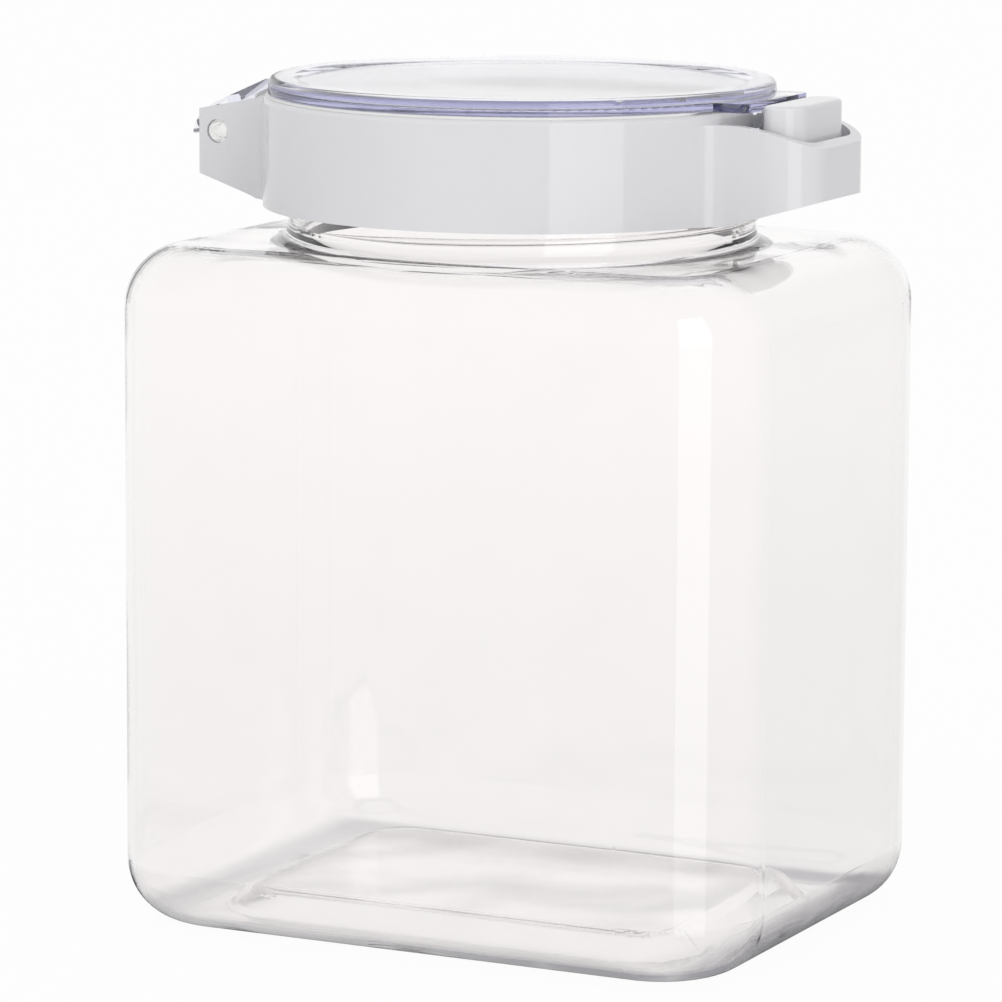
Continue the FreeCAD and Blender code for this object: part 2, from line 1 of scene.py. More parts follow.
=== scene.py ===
"""Clear food canister: finishes, neck and collar threads, the lid's soft lip, springs and the studio."""
import json
import logging
import math
from dataclasses import dataclass
from enum import Enum
from typing import Any, Optional, Union

import bmesh
import bpy
from mathutils import Euler, Matrix, Vector


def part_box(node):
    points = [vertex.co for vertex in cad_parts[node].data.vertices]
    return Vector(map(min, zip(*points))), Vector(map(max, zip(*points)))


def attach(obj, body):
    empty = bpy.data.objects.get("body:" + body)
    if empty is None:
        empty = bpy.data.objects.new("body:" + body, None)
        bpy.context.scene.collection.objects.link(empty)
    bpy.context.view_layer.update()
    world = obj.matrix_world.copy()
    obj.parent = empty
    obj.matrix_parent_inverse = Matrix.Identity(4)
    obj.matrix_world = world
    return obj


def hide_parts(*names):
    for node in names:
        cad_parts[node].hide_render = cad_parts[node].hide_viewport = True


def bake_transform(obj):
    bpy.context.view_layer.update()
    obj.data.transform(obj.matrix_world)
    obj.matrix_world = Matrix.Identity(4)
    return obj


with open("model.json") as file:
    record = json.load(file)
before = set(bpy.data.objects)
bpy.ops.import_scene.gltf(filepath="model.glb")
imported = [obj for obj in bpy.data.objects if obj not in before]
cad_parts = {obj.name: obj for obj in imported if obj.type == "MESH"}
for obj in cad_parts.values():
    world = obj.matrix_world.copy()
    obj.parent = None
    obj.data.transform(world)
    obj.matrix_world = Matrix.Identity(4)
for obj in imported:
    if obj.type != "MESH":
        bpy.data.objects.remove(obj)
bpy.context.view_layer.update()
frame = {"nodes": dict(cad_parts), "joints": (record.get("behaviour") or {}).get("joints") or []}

LOG = logging.getLogger("canister")

MERGE_DISTANCE = 1e-7
THREAD_LEAD = 0.005
RIDGE_CORNER_POINTS = 4
RIDGE_CORNER_SHARE = 0.45
RIDGE_END_SIZE = 0.05
WIRE_SIDES = 14

Colour = tuple[float, float, float]
Axes = tuple[float, float, float]
Band = tuple[float, float]
Key = Union[str, int]
Value = Union["Field", float, int, bool, str, tuple, bpy.types.ID]

PURE_WHITE: Colour = (1.0, 1.0, 1.0)


class Coord(Enum):
    """The coordinates of a texture."""

    OBJECT = "Object"
    DIRECTION = "Generated"


class Field:
    """A socket's value that is combined with Python's own operators."""

    def __init__(self, book: "NodeBook", socket: bpy.types.NodeSocket) -> None:
        """Keeps the socket and the tree it belongs to.

        Args:
            book: the tree that new nodes are added to.
            socket: an output socket of that tree.
        """
        self.book = book
        self.socket = socket

    def __add__(self, other: Value) -> "Field":
        """The sum of two values."""
        return self.book.math("ADD", self, other)

    def __sub__(self, other: Value) -> "Field":
        """The difference of two values."""
        return self.book.math("SUBTRACT", self, other)

    def __mul__(self, other: Value) -> "Field":
        """The product of two values."""
        return self.book.math("MULTIPLY", self, other)

    def __truediv__(self, other: Value) -> "Field":
        """The quotient of two values."""
        return self.book.math("DIVIDE", self, other)

    def __radd__(self, other: Value) -> "Field":
        """The sum with a number on the left."""
        return self.book.math("ADD", other, self)

    def __rsub__(self, other: Value) -> "Field":
        """The difference from a number on the left."""
        return self.book.math("SUBTRACT", other, self)

    def __rmul__(self, other: Value) -> "Field":
        """The product with a number on the left."""
        return self.book.math("MULTIPLY", other, self)

    def __rtruediv__(self, other: Value) -> "Field":
        """A number on the left over the value."""
        return self.book.math("DIVIDE", other, self)

    def __abs__(self) -> "Field":
        """The value without its sign."""
        return self.book.math("ABSOLUTE", self, 0.0)


class NodeBook:
    """Adds nodes to one tree, settings first and sockets after."""

    def __init__(self, tree: bpy.types.NodeTree) -> None:
        """Takes a tree and empties it.

        Args:
            tree: a shader or geometry tree.
        """
        self.tree = tree
        tree.nodes.clear()

    def node(self, kind: str, settings: Optional[dict[str, Any]] = None,
             sockets: Optional[dict[Key, Value]] = None) -> bpy.types.Node:
        """Adds one node.

        Args:
            kind: the node's type name.
            settings: its properties, set first.
            sockets: values or links of its inputs, by name or number.

        Returns:
            The new node.
        """
        made = self.tree.nodes.new(kind)
        for name, value in (settings or {}).items():
            setattr(made, name, value)
        for key, value in (sockets or {}).items():
            if isinstance(value, Field):
                self.tree.links.new(value.socket, made.inputs[key])
            else:
                made.inputs[key].default_value = value
        return made

    def out(self, kind: str, settings: Optional[dict[str, Any]] = None,
            sockets: Optional[dict[Key, Value]] = None, output: Key = 0) -> Field:
        """Adds one node and gives one of its outputs.

        Args:
            kind: the node's type name.
            settings: its properties.
            sockets: values or links of its inputs.
            output: the output's name or number.

        Returns:
            The output as a value.
        """
        return Field(self, self.node(kind, settings, sockets).outputs[output])

    def math(self, operation: str, left: Value, right: Value) -> Field:
        """One Math node."""
        return self.out("ShaderNodeMath", {"operation": operation}, {0: left, 1: right})

    def band(self, value: Field, low: float, high: float) -> Field:
        """A smooth step.

        Args:
            value: what is stepped.
            low: where the step starts.
            high: where it ends; below low, the step falls.

        Returns:
            A value from 0 to 1.
        """
        return self.out("ShaderNodeMapRange", {"interpolation_type": "SMOOTHSTEP"},
                        {0: value, 1: low, 2: high, 3: 0.0, 4: 1.0})

    def mix(self, share: Value, first: Union[Field, Colour], second: Union[Field, Colour]) -> Field:
        """A mix of two colours.

        Args:
            share: how much of the second colour, from 0 to 1.
            first: the colour at 0.
            second: the colour at 1.

        Returns:
            The mixed colour.
        """
        first, second = (c if isinstance(c, Field) else (*c, 1.0) for c in (first, second))
        return self.out("ShaderNodeMix", {"data_type": "RGBA"}, {0: share, 6: first, 7: second}, 2)

    def place(self, coord: Coord) -> Field:
        """The coordinates that a texture reads."""
        return self.out("ShaderNodeTexCoord", output=coord.value)

    def stretched(self, where: Field, scale: Axes) -> Field:
        """Coordinates stretched by a factor along each axis."""
        return self.out("ShaderNodeMapping", {}, {"Vector": where, "Scale": scale})

    def noise(self, where: Field, scale: float, detail: float = 2.0) -> Field:
        """A cloudy pattern.

        Args:
            where: the coordinates.
            scale: waves per metre.
            detail: how many finer layers it has.

        Returns:
            A value around one half.
        """
        return self.out("ShaderNodeTexNoise", {}, {"Vector": where, "Scale": scale, "Detail": detail})

    def bump(self, height: Field, depth: float) -> Field:
        """A normal from a height.

        Args:
            height: a value from 0 to 1.
            depth: the height of 1 in metres.

        Returns:
            The bent normal.
        """
        return self.out("ShaderNodeBump", {}, {
            "Height": height, "Strength": 1.0, "Distance": depth,
        }, "Normal")


def new_material(name: str) -> tuple[bpy.types.Material, NodeBook]:
    """An empty node material and its tree.

    Args:
        name: the material's name.

    Returns:
        The material and the book that adds its nodes.
    """
    material = bpy.data.materials.new(name)
    material.use_nodes = True
    return material, NodeBook(material.node_tree)


@dataclass(frozen=True)
class ClearPlastic:
    """Clear plastic: faint waves of the mould, a light haze and a tint that gathers in the edges."""

    name: str
    tint: Colour
    ior: float
    edge_colour: Colour
    edge_density: float
    wave_scale: float
    wave_depth: float
    roughness: float = 0.015
    haze: float = 0.03
    haze_scale: float = 55.0
    haze_band: Band = (0.45, 0.75)
    haze_share: float = 0.4
    haze_tone: float = 0.985
    scratch_scale: float = 900.0
    scratch_stretch: Axes = (1.0, 1.0, 0.04)
    scratch_band: Band = (0.66, 0.74)
    shine: float = 0.5

    def relief(self, book: NodeBook, where: Field) -> Field:
        """The waves of the wall, as a height from 0 to 1."""
        return book.noise(where, self.wave_scale, detail=1.0)

    def cloud(self, book: NodeBook, where: Field) -> Field:
        """The patches of haze, from 0 to 1."""
        return book.band(book.noise(where, self.haze_scale, detail=3.0), *self.haze_band)

    def dullness(self, book: NodeBook, where: Field) -> Field:
        """The roughness: a light haze with fine upright scratches.

        Args:
            book: the material's tree.
            where: the coordinates.

        Returns:
            The roughness.
        """
        hair = book.noise(book.stretched(where, self.scratch_stretch), self.scratch_scale)
        scratches = book.band(hair, *self.scratch_band)
        return self.roughness + self.haze * self.cloud(book, where) + self.haze * scratches

    def make(self) -> bpy.types.Material:
        """Builds the material.

        Returns:
            The finished material.
        """
        material, book = new_material(self.name)
        where = book.place(Coord.OBJECT)
        hazed = tuple(self.haze_tone * part for part in self.tint)
        colour = book.mix(self.cloud(book, where) * self.haze_share, self.tint, hazed)
        surface = book.out("ShaderNodeBsdfPrincipled", {}, {
            "Base Color": colour, "Roughness": self.dullness(book, where), "IOR": self.ior,
            "Transmission Weight": 1.0, "Specular IOR Level": self.shine,
            "Normal": book.bump(self.relief(book, where), self.wave_depth),
        })
        depth = book.out("ShaderNodeVolumeAbsorption", {}, {
            "Color": (*self.edge_colour, 1.0), "Density": self.edge_density,
        })
        book.node("ShaderNodeOutputMaterial", {}, {"Surface": surface, "Volume": depth})
        return material


@dataclass(frozen=True)
class BlownPlastic(ClearPlastic):
    """The jar's clear plastic: uneven near the foot and the shoulder, stippled on the raised base."""

    foot_top: float = 0.03
    shoulder_start: float = 0.118
    shoulder_end: float = 0.142
    ripple_scale: float = 34.0
    calm_share: float = 0.3
    ripple_share: float = 1.2
    panel_half_x: float = 0.0525
    panel_half_y: float = 0.0385
    panel_top: float = 0.0078
    panel_soft: float = 0.002
    panel_fade: float = 0.001
    stipple: float = 0.11

    def relief(self, book: NodeBook, where: Field) -> Field:
        """The waves of the wall, stronger where the blown wall was stretched most.

        Args:
            book: the material's tree.
            where: the coordinates.

        Returns:
            The height, in parts of the wave depth.
        """
        up = book.out("ShaderNodeSeparateXYZ", {}, {0: where}, "Z")
        ends = book.band(up, self.foot_top, 0.0) + book.band(up, self.shoulder_start, self.shoulder_end)
        calm = book.noise(where, self.wave_scale, detail=1.0)
        ripple = book.noise(where, self.ripple_scale, detail=1.0)
        return self.calm_share * calm + self.ripple_share * ripple * ends

    def dullness(self, book: NodeBook, where: Field) -> Field:
        """The haze of the wall with the stipple of the raised base.

        Args:
            book: the material's tree.
            where: the coordinates.

        Returns:
            The roughness.
        """
        axes = book.node("ShaderNodeSeparateXYZ", {}, {0: where})
        along, across, up = (Field(book, axes.outputs[axis]) for axis in "XYZ")
        soft = self.panel_soft
        inside = book.band(abs(along), self.panel_half_x + soft, self.panel_half_x - soft)
        inside = inside * book.band(abs(across), self.panel_half_y + soft, self.panel_half_y - soft)
        inside = inside * book.band(up, self.panel_top + self.panel_fade, self.panel_top)
        return super().dullness(book, where) + self.stipple * inside


@dataclass(frozen=True)
class MouldedPlastic:
    """Glossy moulded plastic with a fine skin and a slightly uneven gloss."""

    name: str
    colour: Colour
    shade: Colour
    roughness: float
    gloss_change: float = 0.02
    flow_scale: float = 38.0
    flow_band: Band = (0.35, 0.7)
    rub_scale: float = 420.0
    rub_stretch: Axes = (1.0, 1.0, 0.12)
    rub_band: Band = (0.6, 0.75)
    rub_share: float = 0.5
    skin_scale: float = 2600.0
    skin_depth: float = 0.000002
    ior: float = 1.49

    def make(self) -> bpy.types.Material:
        """Builds the material.

        Returns:
            The finished material.
        """
        material, book = new_material(self.name)
        where = book.place(Coord.OBJECT)
        flow = book.noise(where, self.flow_scale, detail=3.0)
        skin = book.noise(where, self.skin_scale)
        rub = book.band(book.noise(book.stretched(where, self.rub_stretch), self.rub_scale), *self.rub_band)
        surface = book.out("ShaderNodeBsdfPrincipled", {}, {
            "Base Color": book.mix(book.band(flow, *self.flow_band), self.colour, self.shade),
            "Roughness": self.roughness + self.gloss_change * flow + self.rub_share * self.gloss_change * rub,
            "IOR": self.ior,
            "Normal": book.bump(skin, self.skin_depth),
        })
        book.node("ShaderNodeOutputMaterial", {}, {"Surface": surface})
        return material


@dataclass(frozen=True)
class SoftRubber:
    """Milky silicone that lets some light through, with a dull dusty skin."""

    name: str
    colour: Colour
    dust: Colour
    clearness: float = 0.1
    ior: float = 1.41
    roughness: float = 0.42
    dust_scale: float = 90.0
    dust_band: Band = (0.4, 0.7)
    dust_dullness: float = 0.15
    skin_scale: float = 1500.0
    skin_depth: float = 0.00003

    def make(self) -> bpy.types.Material:
        """Builds the material.

        Returns:
            The finished material.
        """
        material, book = new_material(self.name)
        where = book.place(Coord.OBJECT)
        cloud = book.noise(where, self.dust_scale, detail=4.0)
        surface = book.out("ShaderNodeBsdfPrincipled", {}, {
            "Base Color": book.mix(book.band(cloud, *self.dust_band), self.colour, self.dust),
            "Roughness": self.roughness + self.dust_dullness * cloud,
            "IOR": self.ior, "Transmission Weight": self.clearness,
            "Normal": book.bump(book.noise(where, self.skin_scale), self.skin_depth),
        })
        book.node("ShaderNodeOutputMaterial", {}, {"Surface": surface})
        return material


@dataclass(frozen=True)
class DrawnSteel:
    """Bright steel with fine lines and a few duller patches."""

    name: str
    colour: Colour
    dull: Colour
    roughness: float
    line_stretch: Axes
    line_scale: float = 3000.0
    line_depth: float = 0.000008
    line_dullness: float = 0.12
    patch_scale: float = 260.0
    patch_band: Band = (0.45, 0.7)
    patch_dullness: float = 0.1

    def make(self) -> bpy.types.Material:
        """Builds the material.

        Returns:
            The finished material.
        """
        material, book = new_material(self.name)
        where = book.place(Coord.OBJECT)
        lines = book.noise(book.stretched(where, self.line_stretch), self.line_scale)
        patch = book.band(book.noise(where, self.patch_scale, detail=3.0), *self.patch_band)
        surface = book.out("ShaderNodeBsdfPrincipled", {}, {
            "Base Color": book.mix(patch, self.colour, self.dull),
            "Metallic": 1.0,
            "Roughness": self.roughness + self.line_dullness * lines + self.patch_dullness * patch,
            "Normal": book.bump(lines, self.line_depth),
        })
        book.node("ShaderNodeOutputMaterial", {}, {"Surface": surface})
        return material


class Finish(Enum):
    """The canister's finishes."""

    JAR = BlownPlastic("clear_blown_plastic", tint=(0.998, 0.984, 0.979), ior=1.5,
                       edge_colour=(0.46, 0.47, 0.5), edge_density=17.0,
                       wave_scale=16.0, wave_depth=0.0006, shine=0.3)
    LID = ClearPlastic("clear_violet_plastic", tint=(0.99, 0.99, 0.995), ior=1.5,
                       edge_colour=(0.36, 0.36, 0.7), edge_density=12.0,
                       wave_scale=14.0, wave_depth=0.0001)
    WHITE = MouldedPlastic("white_gloss_plastic", colour=(0.79, 0.788, 0.812), shade=(0.775, 0.773, 0.797),
                           roughness=0.01)
    NATURAL = ClearPlastic("natural_plastic", tint=(0.97, 0.97, 0.965), ior=1.5,
                           edge_colour=(0.8, 0.8, 0.78), edge_density=6.0,
                           wave_scale=60.0, wave_depth=0.00004, roughness=0.12)
    SEAL = SoftRubber("milky_silicone", colour=(0.96, 0.96, 0.95), dust=(0.92, 0.92, 0.91))
    SPRING = DrawnSteel("spring_wire", colour=(0.6, 0.6, 0.61), dull=(0.45, 0.45, 0.46), roughness=0.22,
                        line_stretch=(1.0, 1.0, 0.2))
    PIN = DrawnSteel("ground_pin", colour=(0.68, 0.68, 0.69), dull=(0.55, 0.55, 0.56), roughness=0.18,
                     line_stretch=(1.0, 0.05, 1.0))


class Workshop:
    """Makes each finish once, dresses CAD nodes and turns geometry trees into plain meshes."""

    def __init__(self) -> None:
        """Starts with no finish made."""
        self._made: dict[Finish, bpy.types.Material] = {}

    def material(self, finish: Finish) -> bpy.types.Material:
        """The material of a finish, made on its first use.

        Args:
            finish: one of the canister's finishes.

        Returns:
            The material that all its pieces share.
        """
        if finish not in self._made:
            self._made[finish] = finish.value.make()
        return self._made[finish]

    def dress(self, node: str, finish: Finish) -> None:
        """Gives a CAD node its finish.

        Args:
            node: the node's name.
            finish: what it is made of.
        """
        for slot in frame["nodes"][node].material_slots:
            slot.material = self.material(finish)
        LOG.info("%s dressed in %s", node, finish.value.name)

    def piece(self, name: str, mesh: bpy.types.Mesh, slot: str) -> bpy.types.Object:
        """Puts a finished mesh in the scene.

        Args:
            name: the piece's name.
            mesh: its mesh, in place.
            slot: the record's material slot; not used.

        Returns:
            The new object, at the origin.
        """
        made = bpy.data.objects.new(name, mesh)
        bpy.context.scene.collection.objects.link(made)
        LOG.info("%s built with %d faces", name, len(mesh.polygons))
        return made

    @staticmethod
    def realise(name: str, tree: bpy.types.NodeTree, inputs: dict[str, Any]) -> bpy.types.Mesh:
        """Runs a geometry tree once and keeps its mesh.

        Args:
            name: the mesh's name.
            tree: a geometry tree that makes its own geometry.
            inputs: the values of its named inputs.

        Returns:
            A plain mesh with outward faces.
        """
        host = bpy.data.objects.new(name, bpy.data.meshes.new(name))
        bpy.context.scene.collection.objects.link(host)
        run = host.modifiers.new(name, "NODES")
        run.node_group = tree
        named = {item.name: item.identifier for item in tree.interface.items_tree}
        for label, value in inputs.items():
            run[named[label]] = value
        ready = host.evaluated_get(bpy.context.evaluated_depsgraph_get())
        mesh = bpy.data.meshes.new_from_object(ready)
        host.modifiers.remove(run)
        bpy.data.objects.remove(host)
        shape = bmesh.new()
        shape.from_mesh(mesh)
        bmesh.ops.remove_doubles(shape, verts=shape.verts, dist=MERGE_DISTANCE)
        bmesh.ops.recalc_face_normals(shape, faces=shape.faces)
        shape.to_mesh(mesh)
        shape.free()
        return mesh


class SweepTree:
    """A geometry tree that sweeps a section along a helix about Z."""

    def __init__(self, name: str) -> None:
        """Starts a tree with the inputs that every sweep has.

        Args:
            name: the tree's name.
        """
        self.tree = bpy.data.node_groups.new(name, "GeometryNodeTree")
        self.book = NodeBook(self.tree)
        self.tree.interface.new_socket("Geometry", in_out="OUTPUT", socket_type="NodeSocketGeometry")
        self.inputs = self.tree.nodes.new("NodeGroupInput")
        for label, kind in (("Radius", "Float"), ("Rise", "Float"), ("Turns", "Float"), ("Steps", "Int"),
                            ("Turned", "Rotation"), ("Place", "Vector"), ("Material", "Material")):
            self.add_input(label, kind)

    def add_input(self, label: str, kind: str) -> None:
        """Adds a named input of a kind such as Float or Vector."""
        self.tree.interface.new_socket(label, in_out="INPUT", socket_type="NodeSocket" + kind)

    def given(self, label: str) -> Field:
        """The value of a named input."""
        return Field(self.book, self.inputs.outputs[label])

    def helix(self) -> Field:
        """A right-handed helix that starts on the +X side; without a rise it is an arc.

        Returns:
            The curve.
        """
        return self.book.out("GeometryNodeCurveSpiral", {}, {
            "Resolution": self.given("Steps"), "Rotations": self.given("Turns"),
            "Start Radius": self.given("Radius"), "End Radius": self.given("Radius"),
            "Height": self.given("Rise"), "Reverse": True,
        })

    def close(self, mesh: Field) -> bpy.types.NodeTree:
        """Places, smooths and dresses the swept mesh.

        Args:
            mesh: the swept geometry.

        Returns:
            The finished tree.
        """
        moved = self.book.out("GeometryNodeTransform", {}, {
            "Geometry": mesh, "Rotation": self.given("Turned"), "Translation": self.given("Place"),
        })
        smooth = self.book.out("GeometryNodeSetShadeSmooth", {}, {"Geometry": moved})
        whole = self.book.out("GeometryNodeRealizeInstances", {}, {"Geometry": smooth})
        dressed = self.book.out("GeometryNodeSetMaterial", {}, {
            "Geometry": whole, "Material": self.given("Material"),
        })
        self.book.node("NodeGroupOutput", {}, {0: dressed})
        return self.tree


def thread_tree() -> bpy.types.NodeTree:
    """A tree for a screw thread or a lip: a rounded ridge along a helix that fades out at both ends.

    Returns:
        The tree, with inputs for the ridge's height, foot, crest and fade.
    """
    sweep = SweepTree("screw_thread")
    book = sweep.book
    for label in ("Height", "Sunk", "Foot", "Crest", "Fade"):
        sweep.add_input(label, "Float")
    half_foot = sweep.given("Foot") * 0.5
    half_crest = sweep.given("Crest") * 0.5
    sunk = 0.0 - sweep.given("Sunk")
    corners = {}
    for number, (out, along) in enumerate(((sunk, 0.0 - half_foot), (sweep.given("Height"), 0.0 - half_crest),
                                           (sweep.given("Height"), half_crest), (sunk, half_foot)), 1):
        corners[f"Point {number}"] = book.out("ShaderNodeCombineXYZ", {}, {"X": out, "Y": along})
    section = book.out("GeometryNodeCurvePrimitiveQuadrilateral", {"mode": "POINTS"}, corners)
    section = book.out("GeometryNodeFilletCurve", {"mode": "POLY"}, {
        "Curve": section, "Count": RIDGE_CORNER_POINTS, "Radius": sweep.given("Crest") * RIDGE_CORNER_SHARE,
        "Limit Radius": True,
    })
    along = book.out("GeometryNodeSplineParameter")
    end = book.math("MINIMUM", along, 1.0 - along)
    size = book.math("MINIMUM", end / sweep.given("Fade") + RIDGE_END_SIZE, 1.0)
    upright = book.out("GeometryNodeSetCurveNormal", {"mode": "Z_UP"}, {"Curve": sweep.helix()})
    return sweep.close(book.out("GeometryNodeCurveToMesh", {}, {
        "Curve": upright, "Profile Curve": section, "Scale": size, "Fill Caps": True,
    }))


def spring_tree() -> bpy.types.NodeTree:
    """A tree for a round-wire spring with straight legs and, if wanted, closed end turns.

    Returns:
        The tree, with inputs for the wire, the legs and the share of closed turns at each end.
    """
    sweep = SweepTree("wire_spring")
    book = sweep.book
    sweep.add_input("Wire", "Float")
    sweep.add_input("Closed", "Float")
    for label in ("Low Leg Start", "Low Leg End", "High Leg Start", "High Leg End"):
        sweep.add_input(label, "Vector")
    along = book.out("GeometryNodeSplineParameter")
    closed = sweep.given("Closed")
    wire = sweep.given("Wire")
    rise = sweep.given("Rise")
    low = book.math("MINIMUM", along / closed, 1.0) * wire * 2.0
    high = book.math("MINIMUM", (1.0 - along) / closed, 1.0) * wire * 2.0
    free = book.out("ShaderNodeMapRange", {}, {
        0: along, 1: closed, 2: 1.0 - closed, 3: 0.0, 4: rise - 4.0 * wire,
    })
    height = low + free + (2.0 * wire - high)
    spot = book.node("ShaderNodeSeparateXYZ", {}, {0: book.out("GeometryNodeInputPosition")})
    lifted = book.out("ShaderNodeCombineXYZ", {}, {
        "X": Field(book, spot.outputs["X"]), "Y": Field(book, spot.outputs["Y"]), "Z": height,
    })
    coil = book.out("GeometryNodeSetPosition", {}, {"Geometry": sweep.helix(), "Position": lifted})
    lines = [coil]
    for end in ("Low", "High"):
        lines.append(book.out("GeometryNodeCurvePrimitiveLine", {}, {
            "Start": sweep.given(f"{end} Leg Start"), "End": sweep.given(f"{end} Leg End"),
        }))
    joined = book.node("GeometryNodeJoinGeometry")
    for path in lines:
        sweep.tree.links.new(path.socket, joined.inputs[0])
    section = book.out("GeometryNodeCurvePrimitiveCircle", {}, {"Resolution": WIRE_SIDES, "Radius": wire})
    return sweep.close(book.out("GeometryNodeCurveToMesh", {}, {
        "Curve": Field(book, joined.outputs[0]), "Profile Curve": section, "Fill Caps": True,
    }))


@dataclass
class Jar:
    """The clear jar with the thread on its neck, and the gasket on its rim."""

    shop: Workshop
    lead: float = THREAD_LEAD
    thread_turns: float = 2.35
    thread_start: float = 0.0141
    thread_bearing: float = 237.6
    thread_height: float = 0.0012
    thread_sunk: float = 0.00002
    thread_foot: float = 0.0019
    thread_crest: float = 0.0009
    thread_fade: float = 0.04
    thread_steps: int = 96

    def thread(self) -> None:
        """Builds the ridge round the neck, below the gasket's outer edge."""
        low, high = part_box("neck_gasket")
        mesh = self.shop.realise("neck_thread", thread_tree(), {
            "Radius": high.x, "Rise": self.lead * self.thread_turns, "Turns": self.thread_turns,
            "Steps": self.thread_steps, "Turned": Euler((0.0, 0.0, math.radians(self.thread_bearing))),
            "Place": (0.0, 0.0, low.z - self.thread_start), "Material": self.shop.material(Finish.JAR),
            "Height": self.thread_height, "Sunk": self.thread_sunk, "Foot": self.thread_foot,
            "Crest": self.thread_crest, "Fade": self.thread_fade,
        })
        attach(self.shop.piece("neck_thread", mesh, "clear_jar"), "jar")

    def build(self) -> None:
        """Dresses the jar and its gasket and adds the thread."""
        self.shop.dress("jar", Finish.JAR)
        self.shop.dress("neck_gasket", Finish.SEAL)
        self.thread()


@dataclass
class Collar:
    """The white screw collar with the thread inside its skirt."""

    shop: Workshop
    lead: float = THREAD_LEAD
    thread_room: float = 0.0021
    thread_turns: float = 1.2
    thread_rise: float = 0.0021
    thread_height: float = 0.0011
    thread_sunk: float = 0.00005
    thread_foot: float = 0.0019
    thread_crest: float = 0.0009
    thread_fade: float = 0.06
    thread_steps: int = 96

    def thread(self) -> None:
        """Builds the ridge inside the skirt, just below the neck's ridge."""
        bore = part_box("neck_gasket")[1].x + self.thread_room
        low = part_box("collar")[0]
        mesh = self.shop.realise("collar_thread", thread_tree(), {
            "Radius": bore, "Rise": self.lead * self.thread_turns, "Turns": self.thread_turns,
            "Steps": self.thread_steps, "Place": (0.0, 0.0, low.z + self.thread_rise),
            "Material": self.shop.material(Finish.WHITE),
            "Height": -self.thread_height, "Sunk": -self.thread_sunk,
            "Foot": self.thread_foot, "Crest": self.thread_crest, "Fade": self.thread_fade,
        })
        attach(self.shop.piece("collar_thread", mesh, "white_plastic"), "collar")

    def build(self) -> None:
        """Dresses the collar and adds its thread."""
        self.shop.dress("collar", Finish.WHITE)
        self.thread()


@dataclass
class Lid:
    """The clear hinged lid, its seal and soft lip, the hinge pin and the spring that lifts it."""

    shop: Workshop
    coil_radius: float = 0.00325
    wire: float = 0.00045
    pitch: float = 0.00115
    arm_angle: float = 113.84
    turns: float = 5.4338
    arm_leg: float = 0.008
    collar_leg: float = 0.0052
    coil_steps: int = 40
    closed_share: float = 1e-6
    lip_inset: float = 0.0002
    lip_drop: float = 0.00205
    lip_arc: float = 136.0
    lip_gap: float = 22.0
    lip_reach: float = 0.0007
    lip_foot: float = 0.0007
    lip_crest: float = 0.0006
    lip_fade: float = 0.03
    lip_steps: int = 240

    def lip(self) -> None:
        """Builds the soft lip that fills the gap between the lid and the collar, an arc on each side."""
        low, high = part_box("lid_cover")
        for side, bearing in (("back", self.lip_gap), ("front", self.lip_gap + 180.0)):
            mesh = self.shop.realise(f"lid_lip_{side}", thread_tree(), {
                "Radius": high.x - self.lip_inset, "Rise": 0.0, "Turns": self.lip_arc / 360,
                "Steps": self.lip_steps, "Turned": Euler((0.0, 0.0, math.radians(bearing))),
                "Place": (0.0, 0.0, low.z - self.lip_drop), "Material": self.shop.material(Finish.SEAL),
                "Height": self.lip_reach, "Sunk": self.lip_inset, "Foot": self.lip_foot,
                "Crest": self.lip_crest, "Fade": self.lip_fade,
            })
            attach(self.shop.piece(f"lid_lip_{side}", mesh, "soft_seal"), "lid")

    def spring(self) -> None:
        """Builds the torsion spring round the hinge pin and hides the CAD spring."""
        hinge = Vector(next(joint["pos_m"] for joint in frame["joints"] if joint["name"] == "lid_open"))
        rise = self.pitch * self.turns
        start = Vector((self.coil_radius, 0.0, 0.0))
        climb = Vector((0.0, 2 * math.pi * self.coil_radius, self.pitch)).normalized()
        spin = Matrix.Rotation(2 * math.pi * self.turns, 3, "Z")
        end = spin @ start + Vector((0.0, 0.0, rise))
        turned = Matrix.Rotation(math.pi / 2, 3, "X") @ Matrix.Rotation(math.radians(self.arm_angle), 3, "Z")
        place = hinge + turned @ Vector((0.0, 0.0, -rise / 2))
        mesh = self.shop.realise("lid_spring_wire", spring_tree(), {
            "Radius": self.coil_radius, "Rise": rise, "Turns": self.turns, "Steps": self.coil_steps,
            "Turned": turned.to_euler(), "Place": place, "Material": self.shop.material(Finish.SPRING),
            "Wire": self.wire, "Closed": self.closed_share,
            "Low Leg Start": start, "Low Leg End": start - climb * self.arm_leg,
            "High Leg Start": end, "High Leg End": end + spin @ climb * self.collar_leg,
        })
        made = self.shop.piece("lid_spring_wire", mesh, "spring_steel")
        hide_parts("lid_spring")
        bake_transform(made)

    def build(self) -> None:
        """Dresses the lid and the hinge and adds the lip and the spring."""
        for node in ("lid_plate", "lid_cover"):
            self.shop.dress(node, Finish.LID)
        self.shop.dress("lid_seal", Finish.SEAL)
        self.shop.dress("hinge_pin", Finish.NATURAL)
        self.lip()
        self.spring()


